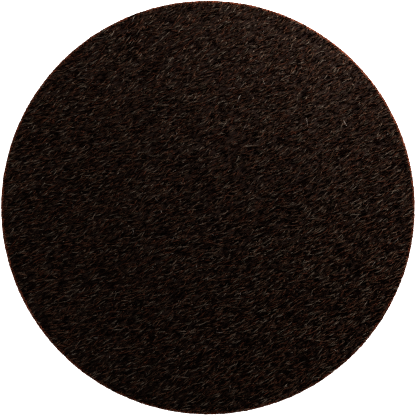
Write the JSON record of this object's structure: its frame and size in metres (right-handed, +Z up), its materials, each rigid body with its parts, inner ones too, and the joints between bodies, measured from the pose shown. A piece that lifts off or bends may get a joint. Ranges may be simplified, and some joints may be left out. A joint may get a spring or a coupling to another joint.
{
  "type": "felt polishing disc",
  "caption": "Flat round disc of dark brown felt with a self-adhesive back under a slit peel-off liner, for polishing stones on a flat lap plate.",
  "frame": {"origin": "on the disc's axis, at the underside of the paper liner that it stands on", "axes": "+Z up out of the felt's working face; the slit in the liner runs along Y; +X is the right half of the liner"},
  "size_m": [0.1524, 0.1524, 0.0068],
  "materials": {
    "dyed_wool_felt": "brushed wool felt, dyed dark brown",
    "acrylic_adhesive": "tacky clear adhesive",
    "polyester_film": "glossy film",
    "coated_paper": "kraft paper, silicone coated on one side"
  },
  "bodies": {
    "pad": {"felt_disc": "dyed_wool_felt", "felt_side_adhesive": "acrylic_adhesive", "carrier_film": "polyester_film", "plate_side_adhesive": "acrylic_adhesive"},
    "left_liner": {"left_liner_half": "coated_paper"},
    "right_liner": {"right_liner_half": "coated_paper"}
  },
  "joints": [
    {"name": "left_liner_peel", "type": "hinge", "parent": "pad", "child": "left_liner", "pos_m": [-0.0759, 0, 0.00012], "axis": [0, 1, 0], "range_deg": [0, 180]},
    {"name": "right_liner_peel", "type": "hinge", "parent": "pad", "child": "right_liner", "pos_m": [0.0759, 0, 0.00012], "axis": [0, -1, 0], "range_deg": [0, 180]}
  ]
}
